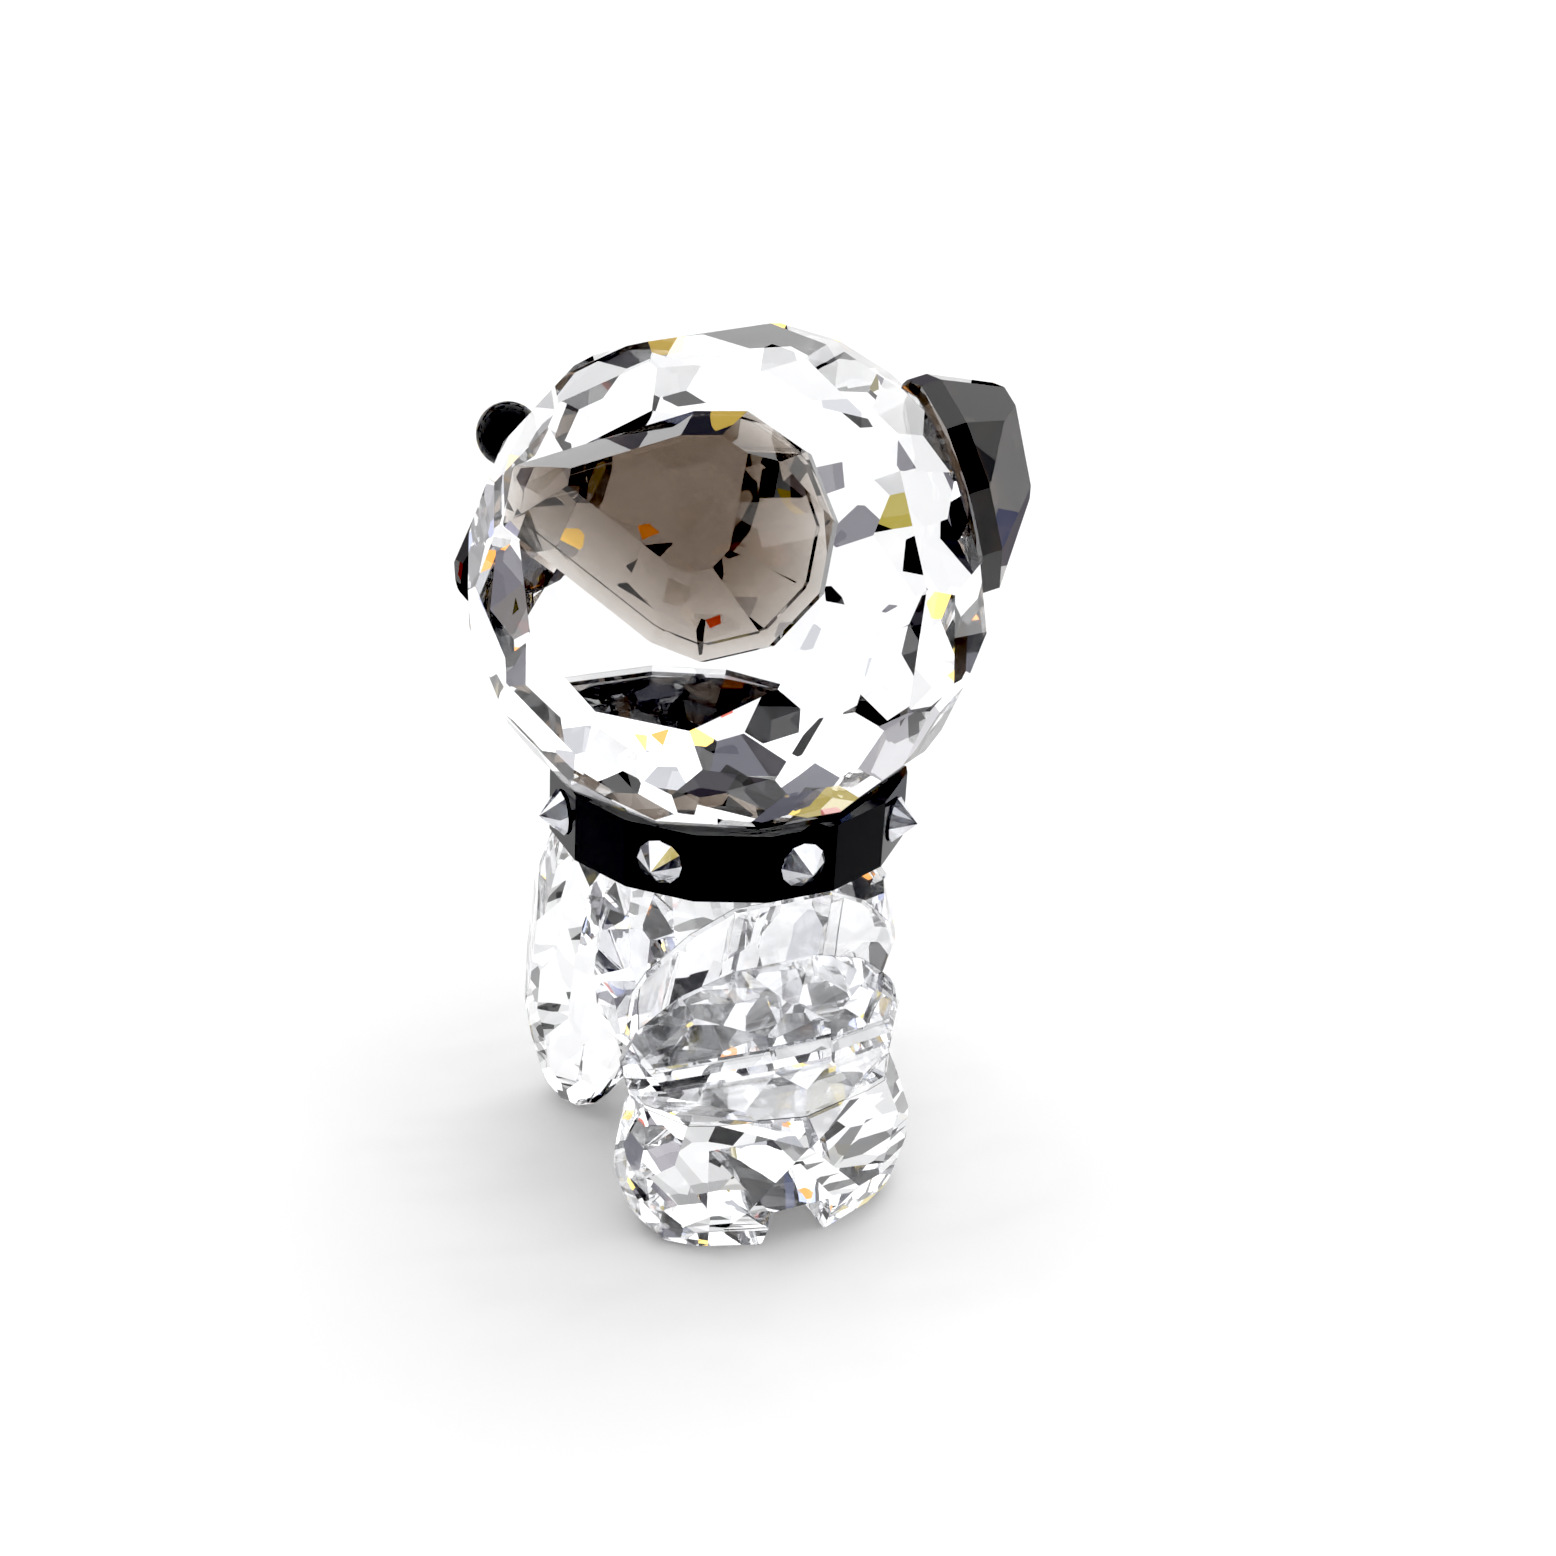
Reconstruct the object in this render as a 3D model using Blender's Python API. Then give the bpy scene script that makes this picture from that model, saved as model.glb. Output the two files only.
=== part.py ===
"""Crystal puppy: a desk figurine made of cut glass stones bonded with clear adhesive.

The puppy faces -Y, its left side is +X and +Z is up.  The origin is on the surface it stands
on, under the middle of its box.  Every stone is a block cut back by flat facets, the way a
lapidary cuts it: each facet is one plane, given by its direction and by its distance from the
stone's own centre.  The stones meet on flat tables, and a thin film of clear adhesive lies
between every two tables.  All sizes are in metres.
"""

import math

import bmesh
import bpy
from mathutils import Matrix, Vector

# ---- driving dimensions -------------------------------------------------------------------
MM = 0.001

CLEARANCE = 0.05 * MM           # free space on each side of an adhesive film
FILM = 0.10 * MM                # thickness of an adhesive film
FILM_INSET = 0.8 * MM           # how far a film stops short of the next stone
BOND = FILM + 2 * CLEARANCE     # distance between two bonded tables

# the figurine is centred on its box, which the turned head pulls off the collar's axis
COLLAR_AXIS = Vector((0.668 * MM, 2.315 * MM, 0.0))

COLLAR_SIDES = 16
COLLAR_RADIUS = 8.95 * MM       # to the corners
COLLAR_BASE = 20.6 * MM
COLLAR_HEIGHT = 3.55 * MM
COLLAR_TURN = math.radians(89.0)  # direction of the first studded side

STUD_COUNT = 8
STUD_RADIUS = 1.15 * MM
STUD_HEIGHT = 1.10 * MM
STUD_SIDES = 12

HEAD_RADIUS = 12.55 * MM
HEAD_HEIGHT = 8.70 * MM         # centre of the head above the collar's top
HEAD_LEAN = Vector((0.13 * MM, -0.80 * MM, 0.0))  # centre of the head from the collar's axis
HEAD_CROWN = 11.9 * MM          # flat on the top of the head, from the head's centre
HEAD_BROW = 11.7 * MM           # flat of the forehead, from the head's centre
BROW_FACING = Vector((0.0, -0.38, 0.92))
HEAD_TURN = math.radians(19)    # towards the puppy's left
# facet rows: angle from the stone's axis in degrees, count, phase, depth
HEAD_ROWS = (
    (43, 10, 0.5, 0.99), (58, 13, 0.0, 0.985), (73, 16, 0.5, 0.98),
    (88, 17, 0.0, 0.985), (104, 16, 0.5, 0.98),
)
MIDLINE_OVERLAP = 0.02          # a facet of one side may face this far across the midline
FACE_COCK = math.radians(13)    # eyes and muzzle lean against the line of the ears
HEAD_TILT = math.radians(-5)    # towards the puppy's right shoulder

EAR_BACK = math.radians(29.5)   # how far the ear tables face backwards
EAR_UP = math.radians(19.5)     # how far they face upwards
EAR_TABLE = 10.65 * MM          # distance of an ear table from the head's centre
EAR_THICKNESS = 4.0 * MM
EAR_WALL = 1.2 * MM             # height of the ear's upright wall below its bevels
EAR_ROUND = 5.35 * MM           # radius of the ear's round rear end
EAR_ROUND_AT = -1.7 * MM        # its centre along the ear
EAR_TIP = 1.85 * MM             # radius of the ear's front end
EAR_TIP_AT = 6.2 * MM
EAR_TIP_FLAT = 7.65 * MM        # where the front end is cut off blunt
EAR_BEVEL = math.radians(40)    # slope of its lower and end bevels
EAR_BROW = math.radians(66)     # slope of the steep bevels along its upper edge
EAR_BROW_FROM = 0.35            # how far a bevel faces up before it counts as upper
EAR_FILM_INSET = 1.2 * MM
EAR_REAR_FACETS = 7             # round its rear end
EAR_FRONT_STEP = 0.42           # share of the taper at which the front end has a facet
EAR_RISE = 1.9 * MM             # middle of the ear above the middle of its table

MUZZLE_TABLE = 11.6 * MM        # distance of the muzzle table from the head's centre
MUZZLE_SIZE = Vector((7.2, 4.0, 3.3)) * MM
MUZZLE_ROWS = ((25, 7, 0.0, 0.95), (48, 9, 0.5, 0.96), (75, 11, 0.0, 0.98))
MUZZLE_DEPTH = 3.4 * MM         # how far it stands out
MUZZLE_FILM_REACH = 4.2 * MM    # half width of the glue behind the muzzle
MUZZLE_DROP = 1.3 * MM
NOSE_STRETCH = (1.25, 0.9, 0.95)
NOSE_RADIUS = 1.7 * MM
EYE_RADIUS = 1.65 * MM
EYE_PLACE = Vector((2.6, -12.45, 5.05)) * MM  # left eye, from the head's centre
EYE_SEAT = 12.35 * MM           # distance of an eye's seat from the head's centre

TORSO_CENTRE = Vector((-0.4, 1.0, 14.2)) * MM
TORSO_SIZE = Vector((8.5, 6.3, 7.6)) * MM
TORSO_ROWS = (
    (28, 8, 0.0, 0.97), (52, 10, 0.5, 0.97), (78, 12, 0.0, 0.98),
    (104, 12, 0.5, 0.98), (130, 10, 0.0, 0.97),
)
TORSO_FLOOR = 7.7 * MM

FORELEG_CENTRE = Vector((4.45, -6.1, 10.9)) * MM
FORELEG_SIZE = Vector((3.25, 4.3, 12.0)) * MM
FORELEG_ROWS = (
    (50, 7, 0.0, 0.97), (68, 9, 0.5, 0.97), (79, 10, 0.0, 0.98), (90, 10, 0.5, 0.985),
    (101, 10, 0.0, 0.98), (113, 9, 0.5, 0.97), (130, 9, 0.0, 0.97), (150, 7, 0.5, 0.96),
)
FORELEG_LEAN = math.radians(-12)  # the paws stand forward of the shoulders
FORELEG_FACING = Vector((0.80, -0.60, 0.0))
FORELEG_FILM_TOP = 2.5 * MM     # glue line of a foreleg starts this far below the collar
FORELEG_TABLE = 5.0 * MM        # its bonding plane, from the collar's axis

RUMP_CENTRE = Vector((-0.85, 4.7, 9.3)) * MM
RUMP_REACH = 8.0 * MM
# turn from the rear in degrees, lift in degrees, distance from the centre in millimetres
RUMP_FACETS = (
    (0, 24, 3.72), (33, 17, 4.01), (27, 46, 4.35), (62, 15, 6.40), (58, 46, 5.80),
    (86, 6, 7.75), (90, 38, 6.95), (36, -20, 4.56), (72, -22, 6.85), (125, 8, 7.35),
    (0, 62, 4.60), (0, 90, 5.10), (48, 30, 5.13), (14, 4, 3.92), (76, -6, 7.30),
    (104, 22, 7.47), (54, -6, 5.73), (110, -16, 7.40), (78, 58, 6.20), (140, 30, 6.95),
)
RUMP_FACING = Vector((0.0, 0.95, -0.30))
RUMP_TABLE = -0.1 * MM          # its bonding plane against the torso, from the collar's axis
RUMP_BASE = 7.4 * MM

HIND_CENTRE = Vector((-0.85, 5.0, 3.6)) * MM
HIND_REACH = 8.0 * MM
HIND_FACETS = (
    (0, -6, 4.10), (38, 2, 5.61), (66, -2, 7.30), (92, 4, 7.95), (125, 2, 7.55),
    (14, 38, 5.00), (58, 38, 6.85), (0, -42, 4.75), (40, -38, 5.96), (78, -34, 7.25),
    (22, 14, 4.62), (20, -24, 4.78), (52, 20, 6.51), (52, -18, 6.49), (79, 18, 7.63),
    (80, -14, 7.65), (108, 24, 7.70), (108, -22, 7.65), (140, -30, 6.95), (145, 26, 6.95),
    (165, 8, 5.40), (160, -18, 5.33),
)
HIND_FRONT = 1.2 * MM           # how far forward the hind legs reach
NOTCH_WIDTH = 3.6 * MM          # gap between the hind feet
NOTCH_HEIGHT = 2.5 * MM
NOTCH_LENGTH = 24 * MM


# ---- cutting ------------------------------------------------------------------------------
def rough_block(reach):
    """A cube of glass that the facets are cut from."""
    stone = bmesh.new()
    bmesh.ops.create_cube(stone, size=2 * reach)
    return stone


def cut(stone, facing, distance):
    """Grind one flat facet: all glass beyond the plane goes, and the wound is closed."""
    facing = facing.normalized()
    sliced = bmesh.ops.bisect_plane(
        stone,
        geom=stone.verts[:] + stone.edges[:] + stone.faces[:],
        dist=1e-8,
        plane_co=facing * distance,
        plane_no=facing,
        clear_outer=True,
    )
    rim = [item for item in sliced["geom_cut"] if isinstance(item, bmesh.types.BMEdge)]
    if len(rim) > 2:
        bmesh.ops.edgeloop_fill(stone, edges=[edge for edge in rim if edge.is_boundary])


def ring(axis, polar, count, phase=0.0):
    """Directions evenly spaced round an axis, all at the same angle from it."""
    axis = axis.normalized()
    side = Vector((1, 0, 0)) if abs(axis.z) > 0.99 else axis.cross(Vector((0, 0, 1))).normalized()
    other = axis.cross(side)
    for step in range(count):
        turn = 2 * math.pi * (step + phase) / count
        across = side * math.cos(turn) + other * math.sin(turn)
        yield axis * math.cos(polar) + across * math.sin(polar)


def support(size, facing):
    """Distance from an ellipsoid's centre to the plane that just touches it."""
    return math.sqrt(sum((half * part) ** 2 for half, part in zip(size, facing)))


def cut_ellipsoid(centre, size, rows, axis=Vector((0, 0, 1))):
    """A stone with rows of facets, given as (angle from the axis, count, phase, depth)."""
    stone = rough_block(3 * max(size))
    for polar, count, phase, depth in rows:
        for facing in ring(axis, math.radians(polar), count, phase):
            facing.normalize()
            cut(stone, facing, depth * support(size, facing))
    bmesh.ops.translate(stone, verts=stone.verts, vec=centre)
    return stone


def cut_pairs(stone, facets):
    """Facets in mirrored pairs, given as (turn from the rear, lift, distance in mm)."""
    for turn, lift, distance in facets:
        flat = math.cos(math.radians(lift))
        left = Vector((math.sin(math.radians(turn)) * flat, math.cos(math.radians(turn)) * flat,
                       math.sin(math.radians(lift))))
        for side in (1, -1) if turn else (1,):
            cut(stone, mirrored(left, side), distance * MM)


def mirrored(vector, side):
    """The same place or direction on the puppy's left (1) or right (-1)."""
    return Vector((vector.x * side, vector.y, vector.z))


# ---- objects ------------------------------------------------------------------------------
def clear_scene():
    for thing in list(bpy.data.objects):
        bpy.data.objects.remove(thing, do_unlink=True)


def new_material(name, colour, roughness, transmission, ior=1.55):
    material = bpy.data.materials.new(name)
    material.use_nodes = True
    shader = material.node_tree.nodes["Principled BSDF"]
    shader.inputs["Base Color"].default_value = (*colour, 1.0)
    shader.inputs["Roughness"].default_value = roughness
    shader.inputs["Metallic"].default_value = 0.0
    shader.inputs["IOR"].default_value = ior
    shader.inputs["Transmission Weight"].default_value = transmission
    material.diffuse_color = (*colour, 1.0)
    return material


def finish(stone, name, material, collection, matrix=None):
    """Turn cut geometry into a named object placed by its location and rotation."""
    bmesh.ops.dissolve_degenerate(stone, dist=1e-6, edges=stone.edges)
    bmesh.ops.recalc_face_normals(stone, faces=stone.faces)
    mesh = bpy.data.meshes.new(name)
    stone.to_mesh(mesh)
    stone.free()
    mesh.materials.append(material)
    thing = bpy.data.objects.new(name, mesh)
    thing.matrix_world = matrix or Matrix.Translation(COLLAR_AXIS)
    collection.objects.link(thing)
    return thing


def film(outline_stone, facing, near, name, materials, collection, matrix=None):
    """Adhesive: the slice of a stone's own outline that lies between two bonded tables."""
    cut(outline_stone, facing, near + CLEARANCE + FILM)
    cut(outline_stone, -facing, -(near + CLEARANCE))
    return finish(outline_stone, name, materials["adhesive"], collection, matrix)


# ---- head ---------------------------------------------------------------------------------
def head_matrix():
    turn = Matrix.Rotation(HEAD_TURN, 4, "Z") @ Matrix.Rotation(HEAD_TILT, 4, "Y")
    collar_top = COLLAR_BASE + COLLAR_HEIGHT + BOND
    place = COLLAR_AXIS + HEAD_LEAN + Vector((0, 0, collar_top + HEAD_HEIGHT))
    return Matrix.Translation(place) @ turn


def head_down():
    """Straight down, in the tilted head's own directions."""
    return head_matrix().to_3x3().inverted() @ Vector((0, 0, -1))


def face_lean():
    return Matrix.Rotation(FACE_COCK, 3, "Y")


def eye_place(side):
    return face_lean() @ mirrored(EYE_PLACE, side)


def ear_facing(side):
    flat = math.cos(EAR_UP)
    left = Vector((math.cos(EAR_BACK) * flat, math.sin(EAR_BACK) * flat, math.sin(EAR_UP)))
    return mirrored(left, side)


def head_block():
    """The ball of the head: tables for ears, eyes, muzzle and neck, and rows of facets."""
    stone = rough_block(2 * HEAD_RADIUS)
    for side in (1, -1):
        cut(stone, ear_facing(side), EAR_TABLE)
        cut(stone, eye_place(side), EYE_SEAT)
        for polar, count, phase, depth in HEAD_ROWS:
            for facing in ring(ear_facing(1), math.radians(polar), count, phase):
                if facing.x > -MIDLINE_OVERLAP:
                    cut(stone, mirrored(facing, side), depth * HEAD_RADIUS)
    cut(stone, -head_down(), HEAD_CROWN)
    cut(stone, BROW_FACING, HEAD_BROW)
    cut(stone, Vector((0, -1, 0)), MUZZLE_TABLE)
    return stone


def build_head(materials, collection):
    place = head_matrix()
    stone = head_block()
    cut(stone, head_down(), HEAD_HEIGHT)
    finish(stone, "head", materials["clear"], collection, place)
    film(head_block(), head_down(), HEAD_HEIGHT, "adhesive_neck", materials, collection, place)


def ear_matrix(side):
    """The ear's own directions: x forward along it, z out of the head, y across it."""
    out = ear_facing(side)
    forward = Vector((0, 0, 1)).cross(out) * -side
    forward.normalize()
    across = out.cross(forward)
    turn = Matrix((forward, across, out)).transposed().to_4x4()
    rise = across * (EAR_RISE if across.z > 0 else -EAR_RISE)
    return head_matrix() @ Matrix.Translation(out * EAR_TABLE + rise) @ turn


def ear_outline():
    """A drop: a round rear end, straight sides and a blunt front end."""
    taper = math.acos((EAR_ROUND - EAR_TIP) / (EAR_TIP_AT - EAR_ROUND_AT))
    directions = [0.0, taper, -taper, EAR_FRONT_STEP * taper, -EAR_FRONT_STEP * taper]
    for step in range(EAR_REAR_FACETS):
        directions.append(taper + (2 * math.pi - 2 * taper) * (step + 0.5) / EAR_REAR_FACETS)
    for turn in directions:
        facing = Vector((math.cos(turn), math.sin(turn), 0))
        reach = max(facing.x * EAR_ROUND_AT + EAR_ROUND, facing.x * EAR_TIP_AT + EAR_TIP)
        reach = min(reach, EAR_TIP_FLAT) if turn == 0 else reach
        yield facing, reach


def build_ear(side, name, materials, collection):
    stone = rough_block(2 * EAR_TIP_FLAT)
    for facing, reach in ear_outline():
        cut(stone, facing, reach)
        slope = EAR_BROW if -side * facing.y > EAR_BROW_FROM else EAR_BEVEL
        bevel = facing * math.sin(slope) + Vector((0, 0, math.cos(slope)))
        edge = facing * reach + Vector((0, 0, EAR_WALL))
        cut(stone, bevel, edge.dot(bevel.normalized()))
    cut(stone, Vector((0, 0, 1)), BOND + EAR_THICKNESS)
    cut(stone, Vector((0, 0, -1)), -BOND)
    finish(stone, "ear_" + name, materials["smoke"], collection, ear_matrix(side))

    drop = rough_block(2 * EAR_TIP_FLAT)
    for facing, reach in ear_outline():
        cut(drop, facing, reach - EAR_FILM_INSET)
    film(drop, Vector((0, 0, 1)), 0.0, "adhesive_ear_" + name,
         materials, collection, ear_matrix(side))


def muzzle_block():
    centre = Vector((0, -MUZZLE_TABLE, -MUZZLE_DROP))
    return cut_ellipsoid(centre, MUZZLE_SIZE, MUZZLE_ROWS, Vector((0, -1, 0)))


def build_face(materials, collection):
    place = head_matrix() @ face_lean().to_4x4()
    stone = muzzle_block()
    cut(stone, Vector((0, -1, 0)), MUZZLE_TABLE + MUZZLE_DEPTH)
    cut(stone, Vector((0, 1, 0)), -(MUZZLE_TABLE + BOND))
    finish(stone, "muzzle", materials["smoke"], collection, place)
    patch = muzzle_block()
    for direction in (1, -1):
        cut(patch, Vector((direction, 0, 0)), MUZZLE_FILM_REACH)
    film(patch, Vector((0, -1, 0)), MUZZLE_TABLE, "adhesive_muzzle", materials, collection, place)

    nose_seat = MUZZLE_TABLE + MUZZLE_DEPTH + 2 * CLEARANCE
    nose = bead(NOSE_RADIUS)
    bmesh.ops.scale(nose, verts=nose.verts, vec=NOSE_STRETCH)
    bmesh.ops.translate(nose, verts=nose.verts, vec=(0, -nose_seat, 0))
    cut(nose, Vector((0, 1, 0)), -nose_seat)
    finish(nose, "nose", materials["jet"], collection, place)

    for side, name in ((1, "left"), (-1, "right")):
        out = eye_place(side)
        eye = bead(EYE_RADIUS)
        bmesh.ops.translate(eye, verts=eye.verts, vec=out)
        cut(eye, -out, -(EYE_SEAT + 2 * CLEARANCE))
        finish(eye, "eye_" + name, materials["jet"], collection, head_matrix())


def bead(radius):
    ball = bmesh.new()
    bmesh.ops.create_uvsphere(ball, u_segments=20, v_segments=12, radius=radius)
    return ball


# ---- collar -------------------------------------------------------------------------------
def build_collar(materials, collection):
    disc = rough_block(4 * COLLAR_RADIUS)
    apothem = COLLAR_RADIUS * math.cos(math.pi / COLLAR_SIDES)
    for side in range(COLLAR_SIDES):
        turn = COLLAR_TURN + 2 * math.pi * side / COLLAR_SIDES
        cut(disc, Vector((math.cos(turn), math.sin(turn), 0)), apothem)
    cut(disc, Vector((0, 0, 1)), COLLAR_BASE + COLLAR_HEIGHT)
    cut(disc, Vector((0, 0, -1)), -COLLAR_BASE)
    finish(disc, "collar", materials["jet"], collection)

    for number in range(STUD_COUNT):
        turn = COLLAR_TURN + 2 * math.pi * number / STUD_COUNT
        stud = bmesh.new()
        bmesh.ops.create_cone(stud, cap_ends=True, cap_tris=False, segments=STUD_SIDES,
                              radius1=STUD_RADIUS, radius2=0.0, depth=STUD_HEIGHT)
        out = apothem + 2 * CLEARANCE + STUD_HEIGHT / 2
        spot = Vector((math.cos(turn) * out, math.sin(turn) * out,
                       COLLAR_BASE + COLLAR_HEIGHT / 2))
        matrix = (Matrix.Translation(COLLAR_AXIS + spot) @ Matrix.Rotation(turn, 4, "Z")
                  @ Matrix.Rotation(math.pi / 2, 4, "Y"))
        finish(stud, "collar_stud_%d" % (number + 1), materials["clear"], collection, matrix)


# ---- body ---------------------------------------------------------------------------------
def torso_block():
    return cut_ellipsoid(TORSO_CENTRE, TORSO_SIZE, TORSO_ROWS)


def foreleg_facing(side):
    return mirrored(FORELEG_FACING, side).normalized()


def foreleg_block(side):
    stone = cut_ellipsoid(FORELEG_CENTRE, FORELEG_SIZE, FORELEG_ROWS)
    lean = Matrix.Rotation(FORELEG_LEAN, 3, "X")
    bmesh.ops.rotate(stone, cent=FORELEG_CENTRE, matrix=lean, verts=stone.verts)
    if side < 0:
        bmesh.ops.scale(stone, vec=(-1, 1, 1), verts=stone.verts)
    cut(stone, Vector((0, 0, 1)), COLLAR_BASE - BOND)
    return stone


def rump_block():
    stone = rough_block(2 * RUMP_REACH)
    cut_pairs(stone, RUMP_FACETS)
    bmesh.ops.translate(stone, verts=stone.verts, vec=RUMP_CENTRE)
    return stone


def hind_block():
    stone = rough_block(2 * HIND_REACH)
    cut_pairs(stone, HIND_FACETS)
    bmesh.ops.translate(stone, verts=stone.verts, vec=HIND_CENTRE)
    return stone


def build_body(materials, collection):
    down, up = Vector((0, 0, -1)), Vector((0, 0, 1))
    rear = RUMP_FACING.normalized()

    torso = torso_block()
    cut(torso, up, COLLAR_BASE - BOND)
    cut(torso, down, -TORSO_FLOOR)
    cut(torso, rear, RUMP_TABLE)
    for side in (1, -1):
        cut(torso, foreleg_facing(side), FORELEG_TABLE)
    finish(torso, "torso", materials["clear"], collection)
    collar_bed = torso_block()
    film(collar_bed, up, COLLAR_BASE - BOND, "adhesive_collar", materials, collection)

    for side, name in ((1, "left"), (-1, "right")):
        inward = -foreleg_facing(side)
        leg = foreleg_block(side)
        cut(leg, inward, -(FORELEG_TABLE + BOND))
        cut(leg, down, 0.0)
        finish(leg, "foreleg_" + name, materials["clear"], collection)
        joint = foreleg_block(side)
        cut(joint, down, -(TORSO_FLOOR + FILM_INSET))
        cut(joint, up, COLLAR_BASE - FORELEG_FILM_TOP)
        film(joint, -inward, FORELEG_TABLE, "adhesive_foreleg_" + name,
             materials, collection)

    rump = rump_block()
    cut(rump, -rear, -(RUMP_TABLE + BOND))
    cut(rump, down, -(RUMP_BASE + BOND))
    finish(rump, "rump", materials["clear"], collection)
    joint = torso_block()
    cut(joint, down, -(TORSO_FLOOR + FILM_INSET))
    film(joint, rear, RUMP_TABLE, "adhesive_rump", materials, collection)

    build_hind_legs(materials, collection)


def build_hind_legs(materials, collection):
    down, up = Vector((0, 0, -1)), Vector((0, 0, 1))
    stone = hind_block()
    cut(stone, up, RUMP_BASE)
    cut(stone, down, 0.0)
    cut(stone, Vector((0, -1, 0)), -HIND_FRONT)
    finish(stone, "hind_legs", materials["clear"], collection)
    joint = hind_block()
    cut(joint, -RUMP_FACING, -(RUMP_TABLE + BOND + FILM_INSET))
    film(joint, up, RUMP_BASE, "adhesive_hind_legs", materials, collection)


def build():
    clear_scene()
    collection = bpy.data.collections.new("crystal_puppy")
    cutters = bpy.data.collections.new("cutters")
    for group in (collection, cutters):
        bpy.context.scene.collection.children.link(group)
    materials = {
        "clear": new_material("clear_crystal", (0.95, 0.96, 0.97), 0.0, 1.0),
        "smoke": new_material("smoky_crystal", (0.36, 0.30, 0.27), 0.0, 1.0),
        "jet": new_material("jet_crystal", (0.004, 0.004, 0.005), 0.03, 0.0),
        "adhesive": new_material("clear_adhesive", (0.95, 0.95, 0.95), 0.0, 1.0, 1.5),
    }
    build_head(materials, collection)
    for side, name in ((1, "left"), (-1, "right")):
        build_ear(side, name, materials, collection)
    build_face(materials, collection)
    build_collar(materials, collection)
    build_body(materials, collection)
    add_notch(collection, cutters)


def add_notch(collection, cutters):
    """The gap between the hind feet, cut right through from front to back."""
    block = bmesh.new()
    bmesh.ops.create_cube(block, size=1.0)
    bmesh.ops.scale(block, vec=(NOTCH_WIDTH, NOTCH_LENGTH, 2 * NOTCH_HEIGHT), verts=block.verts)
    mesh = bpy.data.meshes.new("notch_cutter")
    block.to_mesh(mesh)
    block.free()
    cutter = bpy.data.objects.new("notch_cutter", mesh)
    cutter.location = COLLAR_AXIS + Vector((HIND_CENTRE.x, 0, 0))
    cutter.hide_render = True
    cutter.display_type = "WIRE"
    cutters.objects.link(cutter)
    notch = bpy.data.objects["hind_legs"].modifiers.new("notch", "BOOLEAN")
    notch.operation = "DIFFERENCE"
    notch.solver = "EXACT"
    notch.object = cutter


build()
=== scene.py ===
"""Looks for the cut-glass puppy: glass stones, glue lines, round beads and a white studio."""

import math

import bmesh
import bpy
from mathutils import Matrix, Vector


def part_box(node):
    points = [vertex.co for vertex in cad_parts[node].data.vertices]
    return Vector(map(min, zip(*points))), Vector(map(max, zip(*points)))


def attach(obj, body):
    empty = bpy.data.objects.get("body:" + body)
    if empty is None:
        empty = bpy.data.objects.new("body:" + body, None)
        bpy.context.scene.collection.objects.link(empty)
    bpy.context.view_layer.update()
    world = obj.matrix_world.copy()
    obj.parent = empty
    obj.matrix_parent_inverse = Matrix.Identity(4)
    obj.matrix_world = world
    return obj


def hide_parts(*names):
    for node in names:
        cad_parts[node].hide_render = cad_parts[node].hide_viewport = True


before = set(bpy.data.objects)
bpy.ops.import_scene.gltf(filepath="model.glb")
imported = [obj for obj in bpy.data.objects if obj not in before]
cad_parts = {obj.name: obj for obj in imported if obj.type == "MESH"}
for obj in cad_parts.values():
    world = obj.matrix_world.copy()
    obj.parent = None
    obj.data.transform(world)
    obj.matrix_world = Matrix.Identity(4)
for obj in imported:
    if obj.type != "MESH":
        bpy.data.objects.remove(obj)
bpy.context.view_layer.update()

# ---- driving values -----------------------------------------------------------------------
MM = 0.001

GLASS_IOR = 1.56
GLUE_IOR = 1.53
CLEAR_TINT = (0.985, 0.99, 1.0)
SMOKE_TINT = (0.50, 0.42, 0.34)
SMOKE_DENSITY = 780.0           # per metre
COLOURLESS = (1.0, 1.0, 1.0)
JET_COLOUR = (0.002, 0.002, 0.003)
JET_IOR = 1.5
JET_SHEEN = 0.16
FOIL_TINT = (0.93, 0.94, 0.97)
FOIL_SHARE = 0.55               # how much of a stud's light the foil behind it returns
RIPPLE_SIZE = 2.2 * MM          # waviness that polishing leaves on the body stones
RIPPLE_DEPTH = 0.004 * MM
FINE_RIPPLE_DEPTH = 0.0004 * MM  # the same on the finely polished head, ears and muzzle
JET_ROUGHNESS = (0.008, 0.03)   # between clean polish and the faint film of handling
HANDLING_SIZE = 3 * MM
GLUE_REACH = 0.08 * MM          # the glue wets both stones, past the 0.05 mm clearance
WELD = 0.001 * MM
BEAD_ROUNDING = 2               # levels of subdivision

# the flags' shades; the yellow and the blue one are painted coloured glints, in place of the
# crystal's own fire
FLAG_SHADES = (
    (0.00, (0.012, 0.011, 0.013)), (0.48, (0.05, 0.045, 0.055)), (0.64, (0.25, 0.24, 0.27)),
    (0.78, (0.70, 0.71, 0.75)), (0.93, (0.55, 0.46, 0.12)), (0.97, (0.52, 0.56, 0.85)),
)
# painted glints: small bright warm patches, seen only through the stones, stand in for the
# crystal's own coloured fire
SPARK_SHADES = ((0.00, (2.4, 1.7, 0.45)), (0.45, (1.9, 0.75, 0.20)), (0.75, (0.9, 0.18, 0.12)))
# name, radius, height, patch size, share of patches that stand, their shades, has a window
FLAG_BELTS = (
    ("far_flags", 70 * MM, 48 * MM, 9 * MM, 0.46, FLAG_SHADES, True),
    ("near_flags", 34 * MM, 90 * MM, 3 * MM, 0.12, FLAG_SHADES, False),
    ("sparks", 60 * MM, 66 * MM, 2 * MM, 0.025, SPARK_SHADES, False),
)
BELT_SIDES = 96
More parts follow.
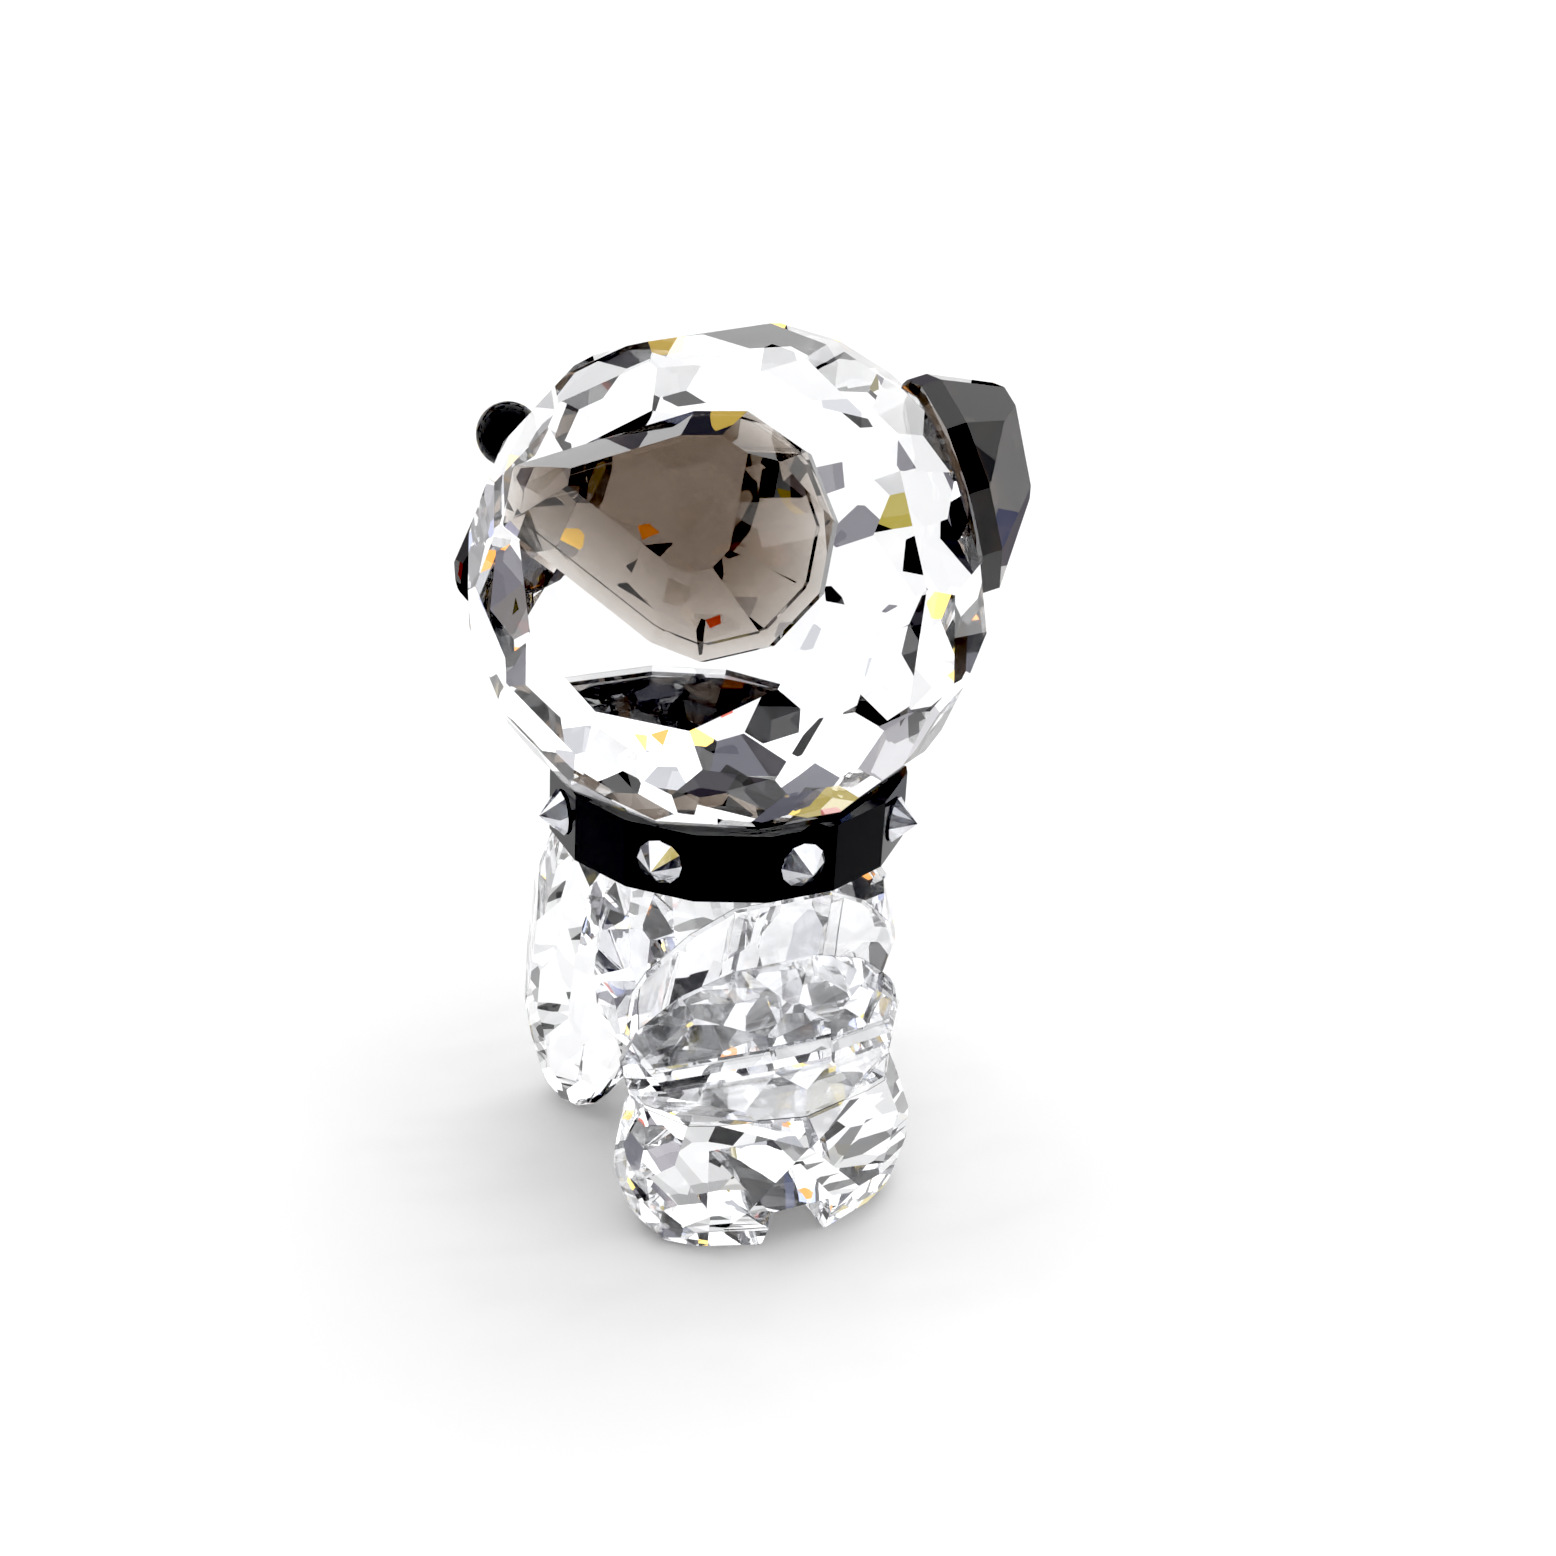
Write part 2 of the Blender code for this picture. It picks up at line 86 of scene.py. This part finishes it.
# the window is a flattened round opening, low on the side that the middle of the head shows
WINDOW_PLACE = (-22 * MM, -66 * MM, -8 * MM)
WINDOW_REACH = 35 * MM
WINDOW_FLATNESS = 2.8

# painted light under the body: a glowing disc, seen only through the stones, stands in for the
# light they gather on the table
GLOW_REACH = 20 * MM
GLOW_SIDES = 64
GLOW_DEPTH = 0.02 * MM          # below the feet, and the floor lies as far below the glow
GLOW_PATCH = 3 * MM
GLOW_STREAK = (1.0, 2.5, 1.0)   # patches are this much narrower along Y
GLOW_SHADES = tuple((start, (grey, grey, grey)) for start, grey in (
    (0.0, 0.03), (0.12, 0.25), (0.24, 0.55), (0.40, 0.85), (0.60, 1.1)))

FLOOR_REACH = 1.5
FLOOR_SHADE = (0.93, 0.93, 0.93)
FLOOR_ROUGHNESS = 0.6
FLOOR_SHEEN = 0.2

STUDIO_LIGHT = 1.72
CEILING_EDGE = 0.80             # height on the unit sphere above which all is white
HORIZON_EDGE = 0.16             # and below which all is pale
EDGE_SOFTNESS = 0.02
PANEL_SCALE = 3.4
PANEL_SHIFT = (1.3, 0.4, 0.2)
DARK_SIDE = (0.44, 0.90, 0.0)   # the studio is darker behind the puppy's left shoulder
DARK_SIDE_LEAN = 0.22
# the yellow and the blue panel shades are painted coloured glints, in place of the crystal's own
# fire
PANEL_SHADES = (
    (0.00, (0.012, 0.012, 0.014)), (0.34, (0.10, 0.10, 0.12)), (0.40, (0.30, 0.29, 0.31)),
    (0.47, (0.52, 0.42, 0.12)), (0.49, (0.50, 0.56, 0.85)), (0.51, (1.0, 1.0, 1.0)),
)
HORIZON_SHADE = (0.92, 0.92, 0.93)
CEILING_SHADE = (1.0, 1.0, 1.0)

CAMERA_OFFSET = Vector((50.68, 103.90, 81.6)) * MM  # from the foot of the collar's axis
CAMERA_YAW = math.radians(152.75)
CAMERA_PITCH = math.radians(26.94)
CAMERA_ROLL = math.radians(3.0)
CAMERA_LENS = 60.15
CAMERA_SENSOR = 36
CAMERA_NEAR = 1 * MM

BLACK_LEVEL = 0.03
GLASS_BOUNCES = 32
MIRROR_BOUNCES = 16
BRIGHTEST_BOUNCE = 8.0


# ---- materials ----------------------------------------------------------------------------
def new_look(name):
    material = bpy.data.materials.new(name)
    material.use_nodes = True
    return material, material.node_tree.nodes, material.node_tree.links


def ripple(nodes, links, shader, depth):
    """A slow waviness of the polish, laid out in the part's own directions."""
    place = nodes.new("ShaderNodeTexCoord")
    noise = nodes.new("ShaderNodeTexNoise")
    noise.inputs["Scale"].default_value = 1 / RIPPLE_SIZE
    noise.inputs["Detail"].default_value = 1.0
    bump = nodes.new("ShaderNodeBump")
    bump.inputs["Distance"].default_value = depth
    bump.inputs["Strength"].default_value = 1.0
    links.new(place.outputs["Object"], noise.inputs["Vector"])
    links.new(noise.outputs["Fac"], bump.inputs["Height"])
    links.new(bump.outputs["Normal"], shader.inputs["Normal"])


def glass(name, colour, ior, density=0.0, tint=COLOURLESS, waves=0.0):
    """Clear or tinted glass: what tints it is the thickness that light crosses."""
    material, nodes, links = new_look(name)
    shader = nodes["Principled BSDF"]
    shader.inputs["Base Color"].default_value = (*colour, 1)
    shader.inputs["Roughness"].default_value = 0.0
    shader.inputs["IOR"].default_value = ior
    shader.inputs["Transmission Weight"].default_value = 1.0
    if waves:
        ripple(nodes, links, shader, waves)
    if density:
        volume = nodes.new("ShaderNodeVolumeAbsorption")
        volume.inputs["Color"].default_value = (*tint, 1)
        volume.inputs["Density"].default_value = density
        links.new(volume.outputs["Volume"], nodes["Material Output"].inputs["Volume"])
    return material


def jet(name):
    """Black glass, polished, with a faint uneven film from handling."""
    material, nodes, links = new_look(name)
    shader = nodes["Principled BSDF"]
    shader.inputs["Base Color"].default_value = (*JET_COLOUR, 1)
    shader.inputs["IOR"].default_value = JET_IOR
    shader.inputs["Specular IOR Level"].default_value = JET_SHEEN
    place = nodes.new("ShaderNodeTexCoord")
    film = nodes.new("ShaderNodeTexNoise")
    film.inputs["Scale"].default_value = 1 / HANDLING_SIZE
    film.inputs["Detail"].default_value = 4.0
    roughness = nodes.new("ShaderNodeMapRange")
    roughness.inputs["To Min"].default_value = JET_ROUGHNESS[0]
    roughness.inputs["To Max"].default_value = JET_ROUGHNESS[1]
    links.new(place.outputs["Object"], film.inputs["Vector"])
    links.new(film.outputs["Fac"], roughness.inputs["Value"])
    links.new(roughness.outputs["Result"], shader.inputs["Roughness"])
    return material


clear = glass("clear_crystal_look", CLEAR_TINT, GLASS_IOR, waves=FINE_RIPPLE_DEPTH)
wavy = glass("body_crystal_look", CLEAR_TINT, GLASS_IOR, waves=RIPPLE_DEPTH)
smoke = glass("smoky_crystal_look", COLOURLESS, GLASS_IOR, SMOKE_DENSITY, SMOKE_TINT,
              FINE_RIPPLE_DEPTH)
glue = glass("glue_look", COLOURLESS, GLUE_IOR)
black = jet("jet_crystal_look")
backed = glass("foiled_crystal_look", FOIL_TINT, GLASS_IOR)
backed.node_tree.nodes["Principled BSDF"].inputs["Metallic"].default_value = FOIL_SHARE


def look_of(name):
    if name.startswith("ear") or name == "muzzle":
        return smoke
    if name in ("collar", "nose") or name.startswith("eye"):
        return black
    if name.startswith("adhesive"):
        return glue
    if name.startswith("collar_stud"):
        return backed
    return clear if name == "head" else wavy


for name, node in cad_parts.items():
    node.data.materials.clear()
    node.data.materials.append(look_of(name))


# ---- pieces -------------------------------------------------------------------------------
def welded_copy(node):
    mesh = bmesh.new()
    mesh.from_mesh(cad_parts[node].data)
    bmesh.ops.remove_doubles(mesh, verts=mesh.verts, dist=WELD)
    return mesh


def add_piece(mesh, name, look, node):
    data = bpy.data.meshes.new(name)
    mesh.to_mesh(data)
    mesh.free()
    data.materials.append(look)
    piece = bpy.data.objects.new(name, data)
    bpy.context.scene.collection.objects.link(piece)
    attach(piece, "root")
    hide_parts(node)
    return piece


def add_glue(node):
    """The glue line of a joint, grown across its clearance so that it wets both stones."""
    mesh = welded_copy(node)
    facing = max(mesh.faces, key=lambda face: face.calc_area()).normal.copy()
    middle = sum((v.co for v in mesh.verts), Vector()) / len(mesh.verts)
    for v in mesh.verts:
        side = 1 if (v.co - middle).dot(facing) > 0 else -1
        v.co += facing * side * GLUE_REACH
    return add_piece(mesh, "glue_" + node.removeprefix("adhesive_"), glue, node)


def add_bead(node):
    """A round polished bead over the many-sided solid, flat only on its seat."""
    mesh = welded_copy(node)
    seat = max(mesh.faces, key=lambda face: face.calc_area())
    crease = mesh.edges.layers.float.new("crease_edge")
    for face in mesh.faces:
        face.smooth = face is not seat
    for edge in seat.edges:
        edge[crease] = 1.0
        edge.smooth = False
    piece = add_piece(mesh, node + "_bead", black, node)
    rounding = piece.modifiers.new("rounding", "SUBSURF")
    rounding.levels = rounding.render_levels = BEAD_ROUNDING
    return piece


for name in sorted(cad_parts):
    if name.startswith("adhesive"):
        add_glue(name)
    elif name == "nose" or name.startswith("eye"):
        add_bead(name)


# ---- studio -------------------------------------------------------------------------------
scene = bpy.context.scene
collar_low, collar_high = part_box("collar")
# the studio stands round the collar's axis
COLLAR_X = (collar_low.x + collar_high.x) / 2
COLLAR_Y = (collar_low.y + collar_high.y) / 2


def add_stage(mesh, name, place):
    """A piece of the studio, which isn't part of the object, and its material's nodes."""
    data = bpy.data.meshes.new(name)
    mesh.to_mesh(data)
    mesh.free()
    piece = bpy.data.objects.new(name, data)
    piece.location = place
    scene.collection.objects.link(piece)
    material, nodes, links = new_look(name + "_look")
    data.materials.append(material)
    return piece, nodes, links


def for_glass_only(piece):
    """Only rays that leave a stone or mirror off one meet the piece."""
    piece.visible_camera = piece.visible_diffuse = piece.visible_shadow = False


def vector_maths(nodes, links, operation, first, second):
    """An operation on a vector that comes from a node and one that is fixed."""
    node = nodes.new("ShaderNodeVectorMath")
    node.operation = operation
    links.new(first, node.inputs[0])
    node.inputs[1].default_value = second
    return node


def patchwork(nodes, links, place, scale):
    """Irregular patches, each with three random numbers as its red, green and blue."""
    cells = nodes.new("ShaderNodeTexVoronoi")
    cells.inputs["Scale"].default_value = scale
    links.new(place, cells.inputs["Vector"])
    chance = nodes.new("ShaderNodeSeparateColor")
    links.new(cells.outputs["Color"], chance.inputs["Color"])
    return chance.outputs


def stepped_shades(nodes, links, value, shades):
    """One of a few flat shades, picked by a number from 0 to 1."""
    ramp = nodes.new("ShaderNodeValToRGB")
    ramp.color_ramp.interpolation = "CONSTANT"
    while len(ramp.color_ramp.elements) < len(shades):
        ramp.color_ramp.elements.new(0.5)
    for stop, (start, shade) in zip(ramp.color_ramp.elements, shades):
        stop.position = start
        stop.color = (*shade, 1)
    links.new(value, ramp.inputs["Fac"])
    return ramp.outputs["Color"]


def number_maths(nodes, links, operation, first, second):
    """An operation on a number from a node and one that is fixed or comes from a node."""
    node = nodes.new("ShaderNodeMath")
    node.operation = operation
    links.new(first, node.inputs[0])
    if isinstance(second, float):
        node.inputs[1].default_value = second
    else:
        links.new(second, node.inputs[1])
    return node.outputs["Value"]


def add_floor():
    mesh = bmesh.new()
    bmesh.ops.create_grid(mesh, x_segments=1, y_segments=1, size=FLOOR_REACH)
    nodes = add_stage(mesh, "floor", (0, 0, -2 * GLOW_DEPTH))[1]
    shader = nodes["Principled BSDF"]
    shader.inputs["Base Color"].default_value = (*FLOOR_SHADE, 1)
    shader.inputs["Roughness"].default_value = FLOOR_ROUGHNESS
    shader.inputs["Specular IOR Level"].default_value = FLOOR_SHEEN


def add_table_glow():
    """Painted light on the table under the stones, streaked as their facets would streak it;
    only the stones see it.
    """
    mesh = bmesh.new()
    bmesh.ops.create_circle(mesh, segments=GLOW_SIDES, radius=GLOW_REACH, cap_ends=True)
    glow, nodes, links = add_stage(mesh, "table_glow", (COLLAR_X, COLLAR_Y, -GLOW_DEPTH))
    for_glass_only(glow)
    place = nodes.new("ShaderNodeTexCoord").outputs["Object"]
    narrowed = vector_maths(nodes, links, "MULTIPLY", place, GLOW_STREAK)
    chance = patchwork(nodes, links, narrowed.outputs["Vector"], 1 / GLOW_PATCH)
    light = nodes.new("ShaderNodeEmission")
    links.new(stepped_shades(nodes, links, chance["Red"], GLOW_SHADES), light.inputs["Color"])
    links.new(light.outputs["Emission"], nodes["Material Output"].inputs["Surface"])


def add_flags(name, reach, height, size, share, shades, windowed):
    """A belt of patches round the set that only the stones see: flags that give the facets their
    contrast, or painted glints.
    """
    mesh = bmesh.new()
    bmesh.ops.create_cone(mesh, segments=BELT_SIDES, radius1=reach, radius2=reach, depth=height)
    belt, nodes, links = add_stage(mesh, name, (COLLAR_X, COLLAR_Y, height / 2))
    for_glass_only(belt)
    place = nodes.new("ShaderNodeTexCoord").outputs["Object"]
    chance = patchwork(nodes, links, place, 1 / size)
    standing = number_maths(nodes, links, "LESS_THAN", chance["Green"], share)
    if windowed:
        flattened = vector_maths(nodes, links, "MULTIPLY", place, (1.0, 1.0, WINDOW_FLATNESS))
        centre = (*WINDOW_PLACE[:2], WINDOW_PLACE[2] * WINDOW_FLATNESS)
        away = vector_maths(nodes, links, "DISTANCE", flattened.outputs["Vector"], centre)
        outside = number_maths(nodes, links, "GREATER_THAN", away.outputs["Value"], WINDOW_REACH)
        standing = number_maths(nodes, links, "MULTIPLY", standing, outside)
    gap = nodes.new("ShaderNodeBsdfTransparent")
    flag = nodes.new("ShaderNodeEmission")
    links.new(stepped_shades(nodes, links, chance["Blue"], shades), flag.inputs["Color"])
    surface = nodes.new("ShaderNodeMixShader")
    links.new(standing, surface.inputs["Fac"])
    links.new(gap.outputs["BSDF"], surface.inputs[1])
    links.new(flag.outputs["Emission"], surface.inputs[2])
    links.new(surface.outputs["Shader"], nodes["Material Output"].inputs["Surface"])


def rise(nodes, links, value, edge):
    """0 below the edge, 1 above it."""
    ramp = nodes.new("ShaderNodeMapRange")
    ramp.inputs["From Min"].default_value = edge - EDGE_SOFTNESS
    ramp.inputs["From Max"].default_value = edge + EDGE_SOFTNESS
    links.new(value, ramp.inputs["Value"])
    return ramp.outputs["Result"]


def blend_colour(nodes, links, factor, first, second):
    """From the first colour to the second, each fixed or from a node."""
    mix = nodes.new("ShaderNodeMix")
    mix.data_type = "RGBA"
    colours = [socket for socket in mix.inputs if socket.type == "RGBA"]
    links.new(factor, mix.inputs["Factor"])
    for socket, colour in zip(colours, (first, second)):
        if isinstance(colour, tuple):
            socket.default_value = (*colour, 1)
        else:
            links.new(colour, socket)
    return next(socket for socket in mix.outputs if socket.type == "RGBA")


def add_surroundings():
    """A white ceiling and a pale horizon, with a belt of dark, grey and white panels between,
    and a few yellow and blue panels that paint coloured glints.
    """
    world = bpy.data.worlds.new("studio")
    scene.world = world
    world.use_nodes = True
    nodes, links = world.node_tree.nodes, world.node_tree.links
    place = nodes.new("ShaderNodeTexCoord").outputs["Generated"]
    shifted = vector_maths(nodes, links, "ADD", place, PANEL_SHIFT)
    chance = patchwork(nodes, links, shifted.outputs["Vector"], PANEL_SCALE)
    toward = vector_maths(nodes, links, "DOT_PRODUCT", place, DARK_SIDE)
    darker = nodes.new("ShaderNodeMath")
    darker.operation = "MULTIPLY_ADD"
    darker.inputs[1].default_value = -DARK_SIDE_LEAN
    links.new(toward.outputs["Value"], darker.inputs[0])
    links.new(chance["Red"], darker.inputs[2])
    panels = stepped_shades(nodes, links, darker.outputs["Value"], PANEL_SHADES)
    height = nodes.new("ShaderNodeSeparateXYZ")
    links.new(place, height.inputs["Vector"])
    above = rise(nodes, links, height.outputs["Z"], HORIZON_EDGE)
    colour = blend_colour(nodes, links, above, HORIZON_SHADE, panels)
    above = rise(nodes, links, height.outputs["Z"], CEILING_EDGE)
    colour = blend_colour(nodes, links, above, colour, CEILING_SHADE)
    links.new(colour, nodes["Background"].inputs["Color"])
    nodes["Background"].inputs["Strength"].default_value = STUDIO_LIGHT


def add_camera():
    """The camera looks down on the puppy from behind its left shoulder."""
    toward_camera = Vector((
        math.sin(CAMERA_YAW) * math.cos(CAMERA_PITCH),
        -math.cos(CAMERA_YAW) * math.cos(CAMERA_PITCH),
        math.sin(CAMERA_PITCH),
    ))
    level = Vector((math.cos(CAMERA_YAW), math.sin(CAMERA_YAW), 0))
    upright = toward_camera.cross(level)
    across = math.cos(CAMERA_ROLL) * level + math.sin(CAMERA_ROLL) * upright
    upward = math.cos(CAMERA_ROLL) * upright - math.sin(CAMERA_ROLL) * level
    lens = bpy.data.cameras.new("camera")
    lens.lens = CAMERA_LENS
    lens.sensor_width = CAMERA_SENSOR
    lens.clip_start = CAMERA_NEAR
    camera = bpy.data.objects.new("camera", lens)
    scene.collection.objects.link(camera)
    pose = Matrix((across, upward, toward_camera)).transposed().to_4x4()
    pose.translation = Vector((COLLAR_X, COLLAR_Y, 0)) + CAMERA_OFFSET
    camera.matrix_world = pose
    scene.camera = camera


add_floor()
add_table_glow()
for belt in FLAG_BELTS:
    add_flags(*belt)
add_surroundings()
add_camera()

scene.view_settings.view_transform = "Standard"
scene.view_settings.use_curve_mapping = True
scene.view_settings.curve_mapping.black_level = (BLACK_LEVEL, BLACK_LEVEL, BLACK_LEVEL)
scene.cycles.max_bounces = GLASS_BOUNCES
scene.cycles.transmission_bounces = GLASS_BOUNCES
scene.cycles.glossy_bounces = MIRROR_BOUNCES
scene.cycles.transparent_max_bounces = MIRROR_BOUNCES
scene.cycles.sample_clamp_indirect = BRIGHTEST_BOUNCE
